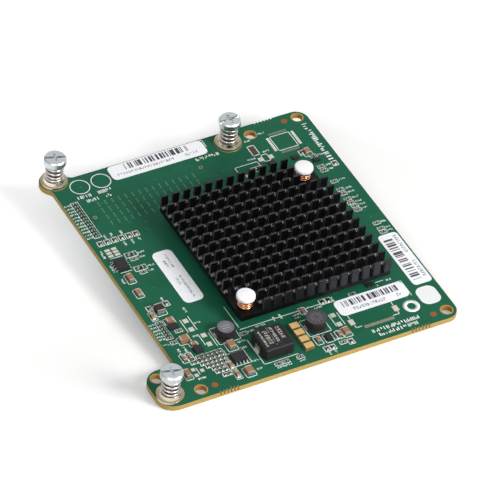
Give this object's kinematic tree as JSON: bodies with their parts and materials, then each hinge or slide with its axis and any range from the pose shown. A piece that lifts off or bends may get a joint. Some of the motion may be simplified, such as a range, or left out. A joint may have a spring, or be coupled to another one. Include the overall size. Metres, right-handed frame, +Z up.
{
  "type": "fibre channel host bus adapter",
  "caption": "Mezzanine adapter card: green board with a black pin-fin heat sink, captive spring screws, chokes and chips on top, and a board-to-board connector below.",
  "frame": {"origin": "on the axis of the front-left tooling hole, at the board's top face", "axes": "+X along the board's front edge to the right, +Y to the back, +Z up out of the component side"},
  "size_m": [0.1128, 0.1185, 0.0208],
  "materials": {
    "board": "green solder mask over glass-fibre laminate",
    "black_aluminium": "black anodised",
    "grey_pad": "soft matt",
    "chip_substrate": "satin",
    "chip_lid": "nickel plated",
    "white_nylon": "satin",
    "copper_wire": "bright drawn",
    "nickel_screw": "nickel plated",
    "steel_wire": "bright drawn",
    "tin": "tinned",
    "connector_plastic": "moulded",
    "gold_contact": "gold plated",
    "choke_body": "pressed iron powder, matt",
    "ferrite": "matt",
    "winding_coat": "resin coated",
    "chip_plastic": "moulded",
    "tantalum_body": "moulded",
    "tan_ceramic": "satin",
    "brown_ceramic": "satin",
    "label_paper": "smooth white"
  },
  "bodies": {
    "card": {"circuit_board": "board", "heat_sink": "black_aluminium", "thermal_pad": "grey_pad", "controller_chip": "chip_substrate", "controller_chip_lid": "chip_lid", "push_pin_front": "white_nylon", "push_pin_rear": "white_nylon", "push_pin_spring_front": "copper_wire", "push_pin_spring_rear": "copper_wire", "screw_ferrules": "nickel_screw", "mezzanine_connector": "connector_plastic", "mezzanine_contacts": "gold_contact", "power_choke": "choke_body", "power_choke_terminals": "tin", "drum_choke_left": "ferrite", "drum_choke_right": "ferrite", "drum_choke_winding_left": "winding_coat", "drum_choke_winding_right": "winding_coat", "drum_choke_terminals": "tin", "memory_chip": "chip_plastic", "regulator_chip": "chip_plastic", "chip_leads": "tin", "supervisor_chip": "chip_plastic", "sequencer_chip": "chip_plastic", "switch_chip": "chip_plastic", "tantalum_capacitor": "tantalum_body", "tantalum_terminals": "tin", "output_capacitors": "tan_ceramic", "output_capacitor_terminals": "tin", "ceramic_capacitors": "brown_ceramic", "ceramic_capacitor_terminals": "tin", "bypass_capacitors": "brown_ceramic", "rear_label": "label_paper", "left_label": "label_paper", "front_label": "label_paper", "right_label": "label_paper"},
    "spring_rear_left": {"screw_spring_rear_left": "steel_wire"},
    "screw_rear_left": {"captive_screw_rear_left": "nickel_screw"},
    "spring_rear": {"screw_spring_rear": "steel_wire"},
    "screw_rear": {"captive_screw_rear": "nickel_screw"},
    "spring_front": {"screw_spring_front": "steel_wire"},
    "screw_front": {"captive_screw_front": "nickel_screw"}
  },
  "joints": [
    {"name": "turn_rear_left", "type": "hinge", "parent": "card", "child": "spring_rear_left", "pos_m": [0.0001, 0.1096, 0], "axis": [0, 0, 1], "continuous": true},
    {"name": "press_rear_left", "type": "slide", "parent": "spring_rear_left", "child": "screw_rear_left", "axis": [0, 0, -1], "range_m": [0, 0.0028], "stiffness_N_per_m": 200, "springref_m": -0.006, "deforming": ["screw_spring_rear_left"]},
    {"name": "turn_rear", "type": "hinge", "parent": "card", "child": "spring_rear", "pos_m": [0.0648, 0.1034, 0], "axis": [0, 0, 1], "continuous": true},
    {"name": "press_rear", "type": "slide", "parent": "spring_rear", "child": "screw_rear", "axis": [0, 0, -1], "range_m": [0, 0.0028], "stiffness_N_per_m": 200, "springref_m": -0.006, "deforming": ["screw_spring_rear"]},
    {"name": "turn_front", "type": "hinge", "parent": "card", "child": "spring_front", "pos_m": [-0.0106, 0.0018, 0], "axis": [0, 0, 1], "continuous": true},
    {"name": "press_front", "type": "slide", "parent": "spring_front", "child": "screw_front", "axis": [0, 0, -1], "range_m": [0, 0.0028], "stiffness_N_per_m": 200, "springref_m": -0.006, "deforming": ["screw_spring_front"]}
  ]
}
